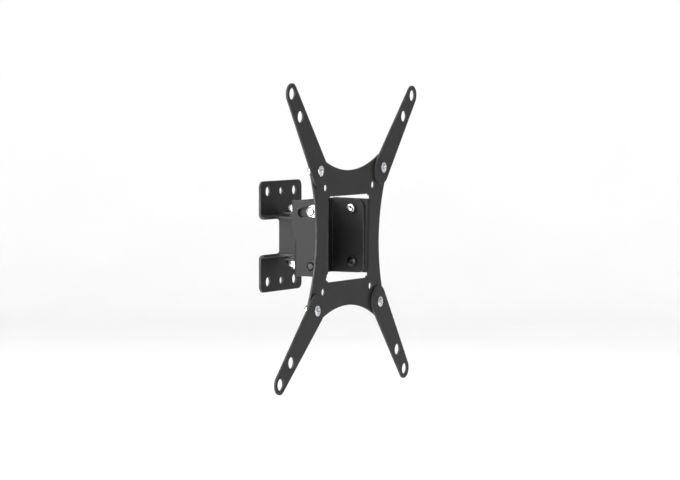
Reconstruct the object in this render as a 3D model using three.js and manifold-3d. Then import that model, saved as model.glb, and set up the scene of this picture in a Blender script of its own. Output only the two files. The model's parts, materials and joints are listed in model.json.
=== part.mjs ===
// Tilt and swivel television wall mount: a pressed wall plate carries a swivel bracket on one vertical
// bolt, and the bracket carries a tilting star-shaped screen plate with four turning arms.
// Millimetres, +Z up. The origin is on the wall, at the centre of the wall plate's rear face.
// The screen is on the -Y side, and left and right are as seen from the screen side (right is +X).

import * as THREE from "three";
import { mergeVertices } from "three/addons/utils/BufferGeometryUtils.js";
import Module from "manifold-3d";

// ---------- driving dimensions ----------

// Gaps and clearances
const seatGap = 0.1; // between faces that rest on each other
const boltClearance = 0.15; // radial, round a bolt's shank
const bushFit = 0.1; // radial, round a bushing or a rivet's shank
const turnGap = 0.5; // between pieces that turn past each other

// Sheet metal
const wallSheet = 2;
const bracketSheet = 2;
const yokeSheet = 2;
const plateSheet = 1.6;
const armSheet = 1.6;
const bendInner = 1.0; // inner radius of the ordinary bends

// Wall plate: two drilled flags joined by ears and a neck
const flagHalfWidth = 31.5;
const flagTop = 40.7;
const flagCorner = 5;
const flagInnerCorner = 3.5;
const flagBendInner = 1.5;
const lipStraight = 1.3; // flat stretch of the lip in front of its bend
const wallHoleHeight = 33.1;
const wallHoleSpacing = 20.3;
const outerWallHoleRadius = 3.5;
const centreWallHoleRadius = 2.7;
const earInnerHeight = 12.8; // half the space between the two ears
const earHalfWidth = 10.2;
const earFillet = 3;
const neckFront = 7; // front of the neck, ahead of the pivot axis
const neckRear = 10.4; // rear edge of the neck's sides, behind the pivot axis
const neckCorner = 3.5;
const neckFillet = 2.2;

// Swivel pivot: one upright M8 bolt
const pivotToWall = 14.8;
const pivotBoltRadius = 4;
const pivotHeadAcross = 13;
const pivotHeadHeight = 3.5;
const pivotNutHeight = 4.2;
const pivotBoltTail = 1;
const pivotWasherRadius = 8.5;
const pivotWasherThickness = 1.4;
const bushWall = 0.85;
const bushFlangeRadius = 8.5;
const bushFlangeThickness = 1;

// Swivel yoke and its rivets
const yokeWingHalfWidth = 20;
const yokeWingHalfHeight = 13.5;
const yokeWingCorner = 3;
const rivetSpacing = 15.2;
const rivetHeight = 8.5;
const rivetRadius = 2;
const rivetHeadRadius = 3.6;
const rivetHeadHeight = 1.4;

// Swivel bracket: a U channel, open towards the screen
const bracketHalfHeight = 27.5;
const bracketHalfWidth = 29.6;
const bracketTopCorner = 8;
const bracketBottomCorner = 4.2;

// Screen plate
const pivotToScreen = 42.3; // from the swivel axis to the plate's front face, upright
const restLean = 1.6; // degrees, top forward
const armPivotOffset = 50; // the arms' bolts, each way from the centre
const vesaHoleOffset = 37.5;
const vesaHoleRadius = 2.5;
const plateWaist = 49.4; // centre to the middle of each hollow side
const lobeRadius = 10.5;
const windowHalfHeight = 31;
const windowCorner = 1;
const reliefHeight = 2.4; // bend relief above and below each ear
const reliefCorner = 1.2;

// Ears of the screen plate and the tilt slot
const earGap = 1.4; // between the bracket's sides and the ears
const screenEarHalfHeight = 27.4;
const screenEarDepth = 30.1;
const screenEarRearLow = 9.5; // where the rear edge starts to slope forward
const screenEarFoot = 20.7; // depth of the ear at its foot
const screenEarTopCorner = 0.6;
const tiltDepth = 10.7; // tilt axis behind the plate's front face
const tiltHeight = -19.5;
const lockHeight = 39.5; // slot's centre line above the tilt axis
const slotClearance = 0.75; // radial, round the lock bolt
const tiltForward = 15; // degrees, from rest
const tiltBack = 5;

// Tilt fasteners, M5
const smallBoltRadius = 2.5;
const smallBoltTail = 1;
const capHeadRadius = 3.3;
const capHeadHeight = 3.8;
const buttonHeadRadius = 3.9;
const buttonHeadHeight = 2.4;
const socketAcross = 3;
const socketDepth = 1.6;
const smallNutAcross = 8;
const smallNutHeight = 4;
const smallWasherRadius = 4.5;
const smallWasherThickness = 1;
const spacerRadius = 6;

// Arms and their fasteners
const armLength = armPivotOffset * Math.SQRT2; // reaches the 200 mm pattern at 45 degrees
const armBaseRadius = 11;
const armBaseShift = 1.6; // the rounded base's centre, beyond the bolt
const armTipRadius = 7.4;
const armHoleRadius = 4.1;
const armMiddleHole = armPivotOffset; // reaches the 200 mm pattern at 0 and 90 degrees
const panHeadRadius = 3.9;
const panHeadHeight = 1.5;
const crossLength = 4.4;
const crossWidth = 1;
const crossDepth = 1.1;

// Fineness of the round shapes
const roundError = 0.07; // farthest that a flat facet lies inside its curve
const domeSteps = 4;
const slopeSteps = 6;
const weldTolerance = 1e-4;
const weldOverlap = 0.6; // how far two bodies run into each other where they are joined

// ---------- sizes that follow ----------

const degree = Math.PI / 180;
const outerBend = (inner, sheet) => inner + sheet;
const lipFront = outerBend(flagBendInner, wallSheet) + lipStraight;
const earOuterHeight = earInnerHeight + wallSheet;
const bushFlangeTop = earOuterHeight + seatGap + bushFlangeThickness;
const yokeTabInner = bushFlangeTop + seatGap;
const yokeTabOuter = yokeTabInner + yokeSheet;
const pivotWasherBase = yokeTabOuter + seatGap;
const pivotHeadBase = pivotWasherBase + pivotWasherThickness + seatGap;
const yokeRear = earHalfWidth + turnGap; // yoke web's rear face, ahead of the pivot axis
const yokeFront = yokeRear + yokeSheet;
const bracketRear = yokeFront + seatGap;
const bracketFront = pivotToScreen - plateSheet;
const tiltAxis = pivotToScreen - tiltDepth;
const sideInner = bracketHalfWidth - bracketSheet;
const screenEarInner = bracketHalfWidth + earGap;
const screenEarOuter = screenEarInner + plateSheet;
const screenBendOuter = outerBend(bendInner, plateSheet);
const bracketBendOuter = outerBend(bendInner, bracketSheet);
const slotHalfWidth = smallBoltRadius + slotClearance;
const slotRear = tiltForward + restLean; // the slot's ends, in degrees from the plate's own upright
const slotFront = tiltBack - restLean;

// ---------- materials ----------

const finish = (color, roughness, metalness) => () =>
  new THREE.MeshStandardMaterial({ color, roughness, metalness });
const blackCoat = finish(0x1c1c1d, 0.55, 0.2);
const blackZinc = finish(0x242425, 0.4, 0.7);
const brightZinc = finish(0xc9ccd0, 0.25, 1);
const whiteNylon = finish(0xd9d7cf, 0.6, 0);
const blackNylon = finish(0x1b1b1c, 0.6, 0);

// ---------- outlines ----------

// The number of facets that keeps a curve of this radius, over so many degrees, within the error.
function facets(radius, turn) {
  const step = (2 * Math.acos(1 - roundError / radius)) / degree;
  return Math.ceil(turn / step);
}

// Points along an arc, from one angle to another, in degrees; a radius of 0 is a sharp corner.
function arc(x, y, radius, from, to, steps = facets(radius, Math.abs(to - from))) {
  if (radius === 0) return [[x, y]];
  return Array.from({ length: steps + 1 }, (_, i) => {
    const angle = (from + ((to - from) * i) / steps) * degree;
    return [x + radius * Math.cos(angle), y + radius * Math.sin(angle)];
  });
}

// A quarter of an ellipse on a base height, from its widest point up to the axis.
const domeArc = (radius, base, height) =>
  arc(0, 0, 1, 0, 90, domeSteps).map(([x, y]) => [x * radius, base + y * height]);

// A whole circle, anticlockwise.
function circle(x, y, radius, sides = facets(radius, 360)) {
  return Array.from({ length: sides }, (_, i) => {
    const angle = (i * 2 * Math.PI) / sides;
    return [x + radius * Math.cos(angle), y + radius * Math.sin(angle)];
  });
}

// A rectangle with rounded corners, whose radii start at the lower left and go anticlockwise.
function roundedRectangle(left, bottom, right, top, corners) {
  const [lowerLeft, lowerRight, upperRight, upperLeft] = corners;
  return [
    ...arc(left + lowerLeft, bottom + lowerLeft, lowerLeft, 180, 270),
    ...arc(right - lowerRight, bottom + lowerRight, lowerRight, 270, 360),
    ...arc(right - upperRight, top - upperRight, upperRight, 0, 90),
    ...arc(left + upperLeft, top - upperLeft, upperLeft, 90, 180),
  ];
}

const evenCorners = (radius) => [radius, radius, radius, radius];

// ---------- solids ----------

// A straight extrusion of an outline with holes, from z = 0 to z = thickness.
function slab(outline, holes, thickness) {
  const toVectors = (points) => points.map(([x, y]) => new THREE.Vector2(x, y));
  const shape = new THREE.Shape(toVectors(outline));
  shape.holes = holes.map((hole) => new THREE.Path(toVectors(hole)));
  return new THREE.ExtrudeGeometry(shape, { depth: thickness, bevelEnabled: false });
}

// An outline in X and Y, standing on z = base.
function lying(outline, holes, base, thickness) {
  return slab(outline, holes, thickness).translate(0, 0, base);
}

// An outline in X and Z, with its rear face at y = rear.
function facing(outline, holes, rear, thickness) {
  return slab(outline, holes, thickness).rotateX(Math.PI / 2).translate(0, rear, 0);
}

// An outline in Y and Z, starting at x = left.
function sideways(outline, holes, left, thickness) {
  const turn = new THREE.Matrix4().set(0, 0, 1, 0, 1, 0, 0, 0, 0, 1, 0, 0, 0, 0, 0, 1);
  return slab(outline, holes, thickness).applyMatrix4(turn).translate(left, 0, 0);
}

// A body of revolution round Z from a closed profile of [radius, height].
function turned(profile) {
  const points = [...profile, profile[0]].map(([x, y]) => new THREE.Vector2(x, y));
  const widest = Math.max(...profile.map(([x]) => x));
  return new THREE.LatheGeometry(points, facets(widest, 360)).rotateX(Math.PI / 2);
}

// A hexagonal prism on z = base, measured across its flats.
function hexagon(across, base, height) {
  const corner = across / 2 / Math.cos(30 * degree);
  return lying(circle(0, 0, corner, 6), [], base, height);
}

const wasm = await Module();
wasm.setup();

// A closed geometry as a solid for joining and cutting.
function solidOf(geometry) {
  const bare = geometry.clone();
  bare.deleteAttribute("normal");
  bare.deleteAttribute("uv");
  const merged = mergeVertices(bare, weldTolerance);
  const mesh = new wasm.Mesh({
    numProp: 3,
    vertProperties: merged.attributes.position.array,
    triVerts: new Uint32Array(merged.index.array),
  });
  return new wasm.Manifold(mesh);
}

function geometryOf(solid) {
  const { vertProperties, triVerts } = solid.getMesh();
  const geometry = new THREE.BufferGeometry();
  geometry.setAttribute("position", new THREE.BufferAttribute(vertProperties, 3));
  geometry.setIndex(new THREE.BufferAttribute(triVerts, 1));
  geometry.computeVertexNormals();
  return geometry;
}

const join = (geometries) => geometries.map(solidOf).reduce((whole, piece) => whole.add(piece));
const cut = (solid, geometries) => geometries.reduce((rest, tool) => rest.subtract(solidOf(tool)), solid);

function place(group, name, geometry, material, position = [0, 0, 0]) {
  const mesh = new THREE.Mesh(geometry, material());
  mesh.name = name;
  mesh.position.set(...position);
  group.add(mesh);
  return mesh;
}

// ---------- fasteners: the head stands on z = 0, and the shank hangs below it ----------

function hexBolt(across, headHeight, radius, length) {
  const shank = lying(circle(0, 0, radius), [], -length, length + weldOverlap);
  return geometryOf(join([hexagon(across, 0, headHeight), shank]));
}

// A domed head whose edge stands straight for a third of its height.
function domeProfile(radius, height) {
  const straight = height / 3;
  return [[radius, 0], ...domeArc(radius, straight, height - straight)];
}

// A round-headed bolt from its head's profile, with a recess cut into the head.
function roundBolt(headProfile, radius, length, recess) {
  const shaft = [[0, -length], [radius, -length], [radius, 0]];
  const body = join([turned([...shaft, ...headProfile])]);
  return geometryOf(cut(body, recess));
}

function crossRecess(headHeight) {
  const base = headHeight - crossDepth;
  const bar = (x, y) => [[-x, -y], [x, -y], [x, y], [-x, y]];
  const half = crossLength / 2;
  const side = crossWidth / 2;
  return [lying(bar(half, side), [], base, headHeight), lying(bar(side, half), [], base, headHeight)];
}

const hexRecess = (headHeight) => [hexagon(socketAcross, headHeight - socketDepth, headHeight)];

function panBolt(length) {
  const profile = domeProfile(panHeadRadius, panHeadHeight);
  return roundBolt(profile, smallBoltRadius, length, crossRecess(panHeadHeight));
}

function capBolt(length) {
  const profile = [[capHeadRadius, 0], [capHeadRadius, capHeadHeight], [0, capHeadHeight]];
  return roundBolt(profile, smallBoltRadius, length, hexRecess(capHeadHeight));
}

function buttonBolt(length) {
  const profile = domeProfile(buttonHeadRadius, buttonHeadHeight);
  return roundBolt(profile, smallBoltRadius, length, hexRecess(buttonHeadHeight));
}

// A nut whose threads grip the bolt, drawn with a running gap.
function nut(across, boltRadius, height) {
  const corner = across / 2 / Math.cos(30 * degree);
  return lying(circle(0, 0, corner, 6), [circle(0, 0, boltRadius + boltClearance)], 0, height);
}

function washer(outer, boltRadius, thickness) {
  return lying(circle(0, 0, outer), [circle(0, 0, boltRadius + boltClearance)], 0, thickness);
}

// A rivet whose two heads grip a stack; its middle is at z = 0.
function rivet(grip) {
  const base = grip / 2 + seatGap;
  const upper = [[rivetRadius, base], ...domeArc(rivetHeadRadius, base, rivetHeadHeight)];
  const lower = upper.map(([x, y]) => [x, -y]).reverse();
  return geometryOf(join([turned([...lower, ...upper])]));
}

// ---------- wall plate ----------

// One flag and its lip, seen from the side, for the upper (side = 1) or the lower (side = -1) flag.
function flagProfile(side) {
  const bendY = -outerBend(flagBendInner, wallSheet);
  const bendZ = earInnerHeight - bendY;
  const outer = arc(bendY, bendZ, -bendY, 0, -90);
  const inner = arc(bendY, bendZ, flagBendInner, -90, 0);
  const points = [
    [0, flagTop],
    ...outer,
    [-lipFront, earInnerHeight],
    [-lipFront, earOuterHeight],
    ...inner,
    [-wallSheet, flagTop],
  ];
  return points.map(([y, z]) => [y, z * side]);
}

// The flag's outline from the front, which rounds its corners.
function flagOutline(side) {
  const corners = [flagInnerCorner, flagInnerCorner, flagCorner, flagCorner];
  const points = roundedRectangle(-flagHalfWidth, earInnerHeight, flagHalfWidth, flagTop, corners);
  return points.map(([x, z]) => [x, z * side]);
}

// The ear from above: it narrows from the lip to the neck and ends round the pivot.
function wallEarOutline() {
  const root = -lipFront + weldOverlap;
  const wide = earHalfWidth + earFillet;
  const filletY = -lipFront - earFillet;
  return [
    [-wide, root],
    ...arc(-wide, filletY, earFillet, 90, 0),
    ...arc(0, -pivotToWall, earHalfWidth, 180, 360),
    ...arc(wide, filletY, earFillet, 180, 90),
    [wide, root],
  ];
}

// The neck from above: a channel, open to the wall, that the pivot bolt stands in.
function neckOutline() {
  const rear = neckRear - pivotToWall;
  const front = -neckFront - pivotToWall;
  const inner = earHalfWidth - wallSheet;
  const outerX = earHalfWidth - neckCorner;
  const outerY = front + neckCorner;
  const innerCorner = neckCorner - wallSheet;
  return [
    [-earHalfWidth, rear],
    ...arc(-outerX, outerY, neckCorner, 180, 270),
    ...arc(outerX, outerY, neckCorner, 270, 360),
    [earHalfWidth, rear],
    [inner, rear],
    ...arc(outerX, outerY, innerCorner, 360, 270),
    ...arc(-outerX, outerY, innerCorner, 270, 180),
    [-inner, rear],
  ];
}

// The small fillet where each side of the neck meets an ear.
function neckGusset(side) {
  const rear = neckRear - pivotToWall;
  const top = earInnerHeight + weldOverlap;
  const points = [
    [rear - neckFillet, top],
    [rear - neckFillet, earInnerHeight - neckFillet],
    ...arc(rear + neckFillet, earInnerHeight - neckFillet, neckFillet, 180, 90),
    [rear + neckFillet, top],
  ];
  return points.map(([y, z]) => [y, z * side]);
}

function wallHoles(side) {
  const height = wallHoleHeight * side;
  const drill = (x, radius) => facing(circle(x, height, radius), [], flagTop, 2 * flagTop);
  return [
    drill(-wallHoleSpacing, outerWallHoleRadius),
    drill(0, centreWallHoleRadius),
    drill(wallHoleSpacing, outerWallHoleRadius),
  ];
}

function wallHalf(side) {
  const width = 2 * flagHalfWidth;
  const pressed = solidOf(sideways(flagProfile(side), [], -flagHalfWidth, width));
  const rounded = pressed.intersect(solidOf(facing(flagOutline(side), [], wallSheet, 2 * lipFront)));
  const drilled = cut(rounded, wallHoles(side));
  const earBase = side > 0 ? earInnerHeight : -earOuterHeight;
  const ear = solidOf(lying(wallEarOutline(), [], earBase, wallSheet));
  const gussets = [-earHalfWidth, earHalfWidth - wallSheet].map((left) =>
    solidOf(sideways(neckGusset(side), [], left, wallSheet)),
  );
  return [ear, ...gussets].reduce((whole, piece) => whole.add(piece), drilled);
}

function wallPlate() {
  const neckHalf = earInnerHeight + weldOverlap;
  const neck = solidOf(lying(neckOutline(), [], -neckHalf, 2 * neckHalf));
  const whole = neck.add(wallHalf(1)).add(wallHalf(-1));
  const bushHole = circle(0, -pivotToWall, pivotBoltRadius + boltClearance + bushWall + bushFit);
  return geometryOf(cut(whole, [lying(bushHole, [], -flagTop, 2 * flagTop)]));
}

// A flanged nylon bushing whose flange lies on an ear; its sleeve hangs down from z = 0.
function bushing() {
  const inner = pivotBoltRadius + boltClearance;
  const sleeve = inner + bushWall;
  const profile = [
    [inner, -wallSheet - seatGap],
    [sleeve, -wallSheet - seatGap],
    [sleeve, 0],
    [bushFlangeRadius, 0],
    [bushFlangeRadius, bushFlangeThickness],
    [inner, bushFlangeThickness],
  ];
  return turned(profile);
}

// ---------- swivel yoke and bracket, in the frame of the swivel axis ----------

// The yoke from the side: a web with a tab bent back above and below.
function yokeProfile() {
  const bend = outerBend(bendInner, yokeSheet);
  const centreY = -yokeFront + bend;
  const centreZ = yokeTabOuter - bend;
  return [
    [earHalfWidth, -yokeTabInner],
    ...arc(centreY, -centreZ, bendInner, 270, 180),
    ...arc(centreY, centreZ, bendInner, 180, 90),
    [earHalfWidth, yokeTabInner],
    [earHalfWidth, yokeTabOuter],
    ...arc(centreY, centreZ, bend, 90, 180),
    ...arc(centreY, -centreZ, bend, 180, 270),
    [earHalfWidth, -yokeTabOuter],
  ];
}

function yokeOutline() {
  return [...arc(0, 0, earHalfWidth, 0, 180), [-earHalfWidth, -yokeFront], [earHalfWidth, -yokeFront]];
}

function rivetHoles(rear, thickness) {
  const drill = (x, z) => facing(circle(x, z, rivetRadius + bushFit), [], rear, thickness);
  return [-1, 1].flatMap((x) => [-1, 1].map((z) => drill(x * rivetSpacing, z * rivetHeight)));
}

function swivelYoke() {
  const fold = solidOf(sideways(yokeProfile(), [], -earHalfWidth, 2 * earHalfWidth));
  const tabs = fold.intersect(solidOf(lying(yokeOutline(), [], -flagTop, 2 * flagTop)));
  const wings = roundedRectangle(
    -yokeWingHalfWidth,
    -yokeWingHalfHeight,
    yokeWingHalfWidth,
    yokeWingHalfHeight,
    evenCorners(yokeWingCorner),
  );
  const whole = tabs.add(solidOf(facing(wings, [], -yokeRear, yokeSheet)));
  const boltHole = lying(circle(0, 0, pivotBoltRadius + boltClearance), [], -flagTop, 2 * flagTop);
  return geometryOf(cut(whole, [boltHole, ...rivetHoles(0, pivotToScreen)]));
}

// The bracket from above: a channel with its web towards the wall.
function bracketSection() {
  const outerX = bracketHalfWidth - bracketBendOuter;
  const outerY = -bracketRear - bracketBendOuter;
  return [
    [-bracketHalfWidth, -bracketFront],
    [-sideInner, -bracketFront],
    ...arc(-outerX, outerY, bendInner, 180, 90),
    ...arc(outerX, outerY, bendInner, 90, 0),
    [sideInner, -bracketFront],
    [bracketHalfWidth, -bracketFront],
    ...arc(outerX, outerY, bracketBendOuter, 0, 90),
    ...arc(-outerX, outerY, bracketBendOuter, 90, 180),
  ];
}

// The bracket's sides, which round its front corners.
function bracketSide() {
  const corners = [bracketBottomCorner, 0, 0, bracketTopCorner];
  const rear = -bracketRear + bracketSheet;
  return roundedRectangle(-bracketFront, -bracketHalfHeight, rear, bracketHalfHeight, corners);
}

function swivelBracket() {
  const height = 2 * bracketHalfHeight;
  const width = 2 * bracketHalfWidth;
  const channel = solidOf(lying(bracketSection(), [], -bracketHalfHeight, height));
  const sides = solidOf(sideways(bracketSide(), [], -bracketHalfWidth - seatGap, width + 2 * seatGap));
  const drill = (z) => sideways(circle(-tiltAxis, z, smallBoltRadius + boltClearance), [], -width, 2 * width);
  const holes = [drill(tiltHeight), drill(tiltHeight + lockHeight), ...rivetHoles(0, pivotToScreen)];
  return geometryOf(cut(channel.intersect(sides), holes));
}

// ---------- screen plate, in its own frame: y = 0 is its front face, and +Y is towards the wall ----------

// The star outline: four corner lobes joined by hollow arcs that meet them smoothly.
function starOutline() {
  const step = plateWaist - armPivotOffset;
  const hollow = (armPivotOffset ** 2 + step ** 2 - lobeRadius ** 2) / (2 * (lobeRadius - step));
  const hollowCentre = plateWaist + hollow;
  const lean = Math.atan2(hollowCentre - armPivotOffset, -armPivotOffset) / degree;
  const points = [0, 90, 180, 270].flatMap((turn) => {
    const diagonal = (turn + 45) * degree;
    const reach = armPivotOffset * Math.SQRT2;
    const side = (turn + 90) * degree;
    const lobe = arc(
      reach * Math.cos(diagonal),
      reach * Math.sin(diagonal),
      lobeRadius,
      turn + 90 - lean,
      turn + lean,
    );
    const sweep = arc(
      hollowCentre * Math.cos(side),
      hollowCentre * Math.sin(side),
      hollow,
      turn + lean + 180,
      turn - lean + 360,
    );
    return [...lobe, ...sweep.slice(1, -1)];
  });
  return points;
}

// The bend from the plate into one ear, seen from above; side is -1 on the left and 1 on the right.
function screenBend(side) {
  const centreX = screenEarInner + screenBendOuter;
  const points = [
    [centreX + weldOverlap, 0],
    ...arc(centreX, screenBendOuter, screenBendOuter, 270, 180),
    [screenEarInner, screenBendOuter + weldOverlap],
    [screenEarOuter, screenBendOuter + weldOverlap],
    ...arc(centreX, screenBendOuter, bendInner, 180, 270),
    [centreX + weldOverlap, plateSheet],
  ];
  return points.map(([x, y]) => [x * side, y]);
}

// The ear from the side, with a sloping rear edge that the tilt bolt sits in front of.
function screenEarOutline() {
  const foot = new THREE.Vector2(screenEarFoot, -screenEarHalfHeight);
  const start = new THREE.Vector2(screenEarDepth, screenEarRearLow);
  const middle = new THREE.Vector2(screenEarFoot + screenEarTopCorner, tiltHeight + screenEarRearLow / 2);
  const curve = new THREE.QuadraticBezierCurve(foot, middle, start);
  const slope = curve.getPoints(slopeSteps).map(({ x, y }) => [x, y]);
  const corner = screenEarTopCorner;
  return [
    [screenBendOuter, -screenEarHalfHeight],
    ...slope,
    ...arc(screenEarDepth - corner, screenEarHalfHeight - corner, corner, 0, 90),
    [screenBendOuter, screenEarHalfHeight],
  ];
}

// The curved slot that the lock bolt slides in, round the tilt axis.
function tiltSlot() {
  const onArc = (angle, radius) => [
    tiltDepth + radius * Math.sin(angle * degree),
    tiltHeight + radius * Math.cos(angle * degree),
  ];
  const [rearY, rearZ] = onArc(slotRear, lockHeight);
  const [frontY, frontZ] = onArc(-slotFront, lockHeight);
  const upper = arc(tiltDepth, tiltHeight, lockHeight + slotHalfWidth, 90 + slotFront, 90 - slotRear);
  const lower = arc(tiltDepth, tiltHeight, lockHeight - slotHalfWidth, 90 - slotRear, 90 + slotFront);
  const rearEnd = arc(rearY, rearZ, slotHalfWidth, 90 - slotRear, -90 - slotRear);
  const frontEnd = arc(frontY, frontZ, slotHalfWidth, 270 + slotFront, 90 + slotFront);
  return [...upper, ...rearEnd.slice(1, -1), ...lower, ...frontEnd.slice(1, -1)];
}

function screenEar(side) {
  const tiltHole = circle(tiltDepth, tiltHeight, smallBoltRadius + boltClearance);
  const left = side > 0 ? screenEarInner : -screenEarOuter;
  const flat = sideways(screenEarOutline(), [tiltHole, tiltSlot()], left, plateSheet);
  const bend = lying(screenBend(side), [], -screenEarHalfHeight, 2 * screenEarHalfHeight);
  return join([flat, bend]);
}

function screenPlate() {
  const corners = [-1, 1].flatMap((x) => [-1, 1].map((z) => [x, z]));
  const vesaHoles = corners.map(([x, z]) => circle(x * vesaHoleOffset, z * vesaHoleOffset, vesaHoleRadius));
  const boltRadius = smallBoltRadius + boltClearance;
  const armHoles = corners.map(([x, z]) => circle(x * armPivotOffset, z * armPivotOffset, boltRadius));
  const star = solidOf(facing(starOutline(), [...vesaHoles, ...armHoles], plateSheet, plateSheet));
  const box = (x, z, radius) => {
    const outline = roundedRectangle(-x, -z, x, z, evenCorners(radius));
    return facing(outline, [], 2 * plateSheet, 3 * plateSheet);
  };
  const opened = cut(star, [
    box(screenEarInner, windowHalfHeight, windowCorner),
    box(screenEarInner + screenBendOuter, screenEarHalfHeight + reliefHeight, reliefCorner),
  ]);
  return geometryOf(opened.add(screenEar(-1)).add(screenEar(1)));
}

// One arm, pointing up from its bolt, with its rear face on y = 0.
function arm() {
  const taper = Math.asin((armBaseRadius - armTipRadius) / (armLength + armBaseShift)) / degree;
  const outline = [
    ...arc(0, -armBaseShift, armBaseRadius, 180 - taper, 360 + taper),
    ...arc(0, armLength, armTipRadius, taper, 180 - taper),
  ];
  const holes = [
    circle(0, 0, smallBoltRadius + boltClearance),
    circle(0, armMiddleHole, armHoleRadius),
    circle(0, armLength, armHoleRadius),
  ];
  return facing(outline, holes, 0, armSheet);
}

// ---------- assembly ----------

const mount = new THREE.Group();

const swivel = new THREE.Group();
swivel.position.set(0, -pivotToWall, 0);
mount.add(swivel);

const tilt = new THREE.Group();
tilt.position.set(0, -tiltAxis, tiltHeight);
tilt.rotation.x = restLean * degree;
swivel.add(tilt);

const screen = new THREE.Group();
screen.position.set(0, -tiltDepth, -tiltHeight);
tilt.add(screen);

function addWallSide() {
  place(mount, "wall_plate", wallPlate(), blackCoat);
  const height = earOuterHeight + seatGap;
  place(mount, "upper_bushing", bushing(), blackNylon, [0, -pivotToWall, height]);
  const lower = place(mount, "lower_bushing", bushing(), blackNylon, [0, -pivotToWall, -height]);
  lower.rotation.x = Math.PI;
}

function addSwivelPivot() {
  const nutBase = pivotHeadBase + pivotNutHeight;
  const length = pivotHeadBase + nutBase + pivotBoltTail;
  const bolt = hexBolt(pivotHeadAcross, pivotHeadHeight, pivotBoltRadius, length);
  place(swivel, "pivot_bolt", bolt, brightZinc, [0, 0, pivotHeadBase]);
  const disc = () => washer(pivotWasherRadius, pivotBoltRadius, pivotWasherThickness);
  place(swivel, "pivot_washer_upper", disc(), brightZinc, [0, 0, pivotWasherBase]);
  place(swivel, "pivot_washer_lower", disc(), brightZinc, [0, 0, -pivotWasherBase - pivotWasherThickness]);
  const lockNut = nut(pivotHeadAcross, pivotBoltRadius, pivotNutHeight);
  place(swivel, "pivot_nut", lockNut, brightZinc, [0, 0, -nutBase]);
}

function addYoke() {
  place(swivel, "swivel_yoke", swivelYoke(), blackCoat);
  const grip = yokeSheet + seatGap + bracketSheet;
  const middle = -(yokeRear + grip / 2);
  const corners = { upper_left: [-1, 1], upper_right: [1, 1], lower_right: [1, -1], lower_left: [-1, -1] };
  for (const [name, [x, z]] of Object.entries(corners)) {
    const position = [x * rivetSpacing, middle, z * rivetHeight];
    const piece = place(swivel, `yoke_rivet_${name}`, rivet(grip), blackZinc, position);
    piece.rotation.x = Math.PI / 2;
  }
}

// The bolt, spacer, washer and nut through one side of the bracket and the ear outside it.
function addSideBolt(prefix, side, height, makeBolt, metal) {
  const name = side < 0 ? "left" : "right";
  const washerInner = screenEarOuter + seatGap;
  const nutInner = washerInner + smallWasherThickness + seatGap;
  const nutOuter = nutInner + smallNutHeight;
  const headFace = sideInner - seatGap;
  const at = (x) => [x * side, -tiltAxis, height];
  const outward = side < 0 ? -Math.PI / 2 : Math.PI / 2;
  const bolt = place(
    swivel,
    `${prefix}_bolt_${name}`,
    makeBolt(nutOuter + smallBoltTail - headFace),
    metal,
    at(headFace),
  );
  bolt.rotation.y = -outward;
  const spacerThickness = earGap - 2 * seatGap;
  const spacer = washer(spacerRadius, smallBoltRadius, spacerThickness);
  const disc = washer(smallWasherRadius, smallBoltRadius, smallWasherThickness);
  const lockNut = nut(smallNutAcross, smallBoltRadius, smallNutHeight);
  const rings = [
    place(swivel, `${prefix}_spacer_${name}`, spacer, whiteNylon, at(bracketHalfWidth + seatGap)),
    place(swivel, `${prefix}_washer_${name}`, disc, metal, at(washerInner)),
    place(swivel, `${prefix}_nut_${name}`, lockNut, metal, at(nutInner)),
  ];
  for (const ring of rings) ring.rotation.y = outward;
}

function addBracket() {
  place(swivel, "swivel_bracket", swivelBracket(), blackCoat);
  for (const side of [-1, 1]) {
    addSideBolt("lock", side, tiltHeight + lockHeight, capBolt, brightZinc);
    addSideBolt("tilt", side, tiltHeight, buttonBolt, blackZinc);
  }
}

// Each arm, with the side of its bolt and its angle out from the vertical.
const arms = {
  upper_left: { x: -1, z: 1, angle: 39 },
  upper_right: { x: 1, z: 1, angle: 41 },
  lower_right: { x: 1, z: -1, angle: 40 },
  lower_left: { x: -1, z: -1, angle: 47 },
};

function addArm(name, { x, z, angle }) {
  const at = (y) => [x * armPivotOffset, y, z * armPivotOffset];
  const upright = z > 0 ? 0 : Math.PI;
  const piece = place(screen, `arm_${name}`, arm(), blackCoat, at(-seatGap));
  piece.rotation.y = upright + x * z * angle * degree;
  const headFace = -armSheet - 2 * seatGap;
  const washerFront = plateSheet + seatGap;
  const nutFront = washerFront + smallWasherThickness + seatGap;
  const nutRear = nutFront + smallNutHeight;
  const length = nutRear + smallBoltTail - headFace;
  const bolt = place(screen, `arm_bolt_${name}`, panBolt(length), brightZinc, at(headFace));
  bolt.rotation.x = Math.PI / 2;
  const disc = washer(smallWasherRadius, smallBoltRadius, smallWasherThickness);
  const ring = place(screen, `arm_washer_${name}`, disc, brightZinc, at(washerFront));
  ring.rotation.x = -Math.PI / 2;
  const lockNut = nut(smallNutAcross, smallBoltRadius, smallNutHeight);
  const hex = place(screen, `arm_nut_${name}`, lockNut, brightZinc, at(nutFront));
  hex.rotation.x = -Math.PI / 2;
}

function addScreenPlate() {
  place(screen, "vesa_plate", screenPlate(), blackCoat);
  for (const [name, corner] of Object.entries(arms)) addArm(name, corner);
}

addWallSide();
addSwivelPivot();
addYoke();
addBracket();
addScreenPlate();

export default mount;
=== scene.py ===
"""Looks for a tilt and swivel television wall mount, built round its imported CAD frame.

Every pressed part is drawn as a flat blank with rolled rims and then folded, as the real one is.
Sizes are in millimetres and turn into metres when a mesh is made.
The wall is at y = 0, and the screen is on the -Y side.
"""

import json
import math

import bmesh
import bpy
from mathutils import Matrix, Vector
from mathutils.geometry import delaunay_2d_cdt


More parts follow.
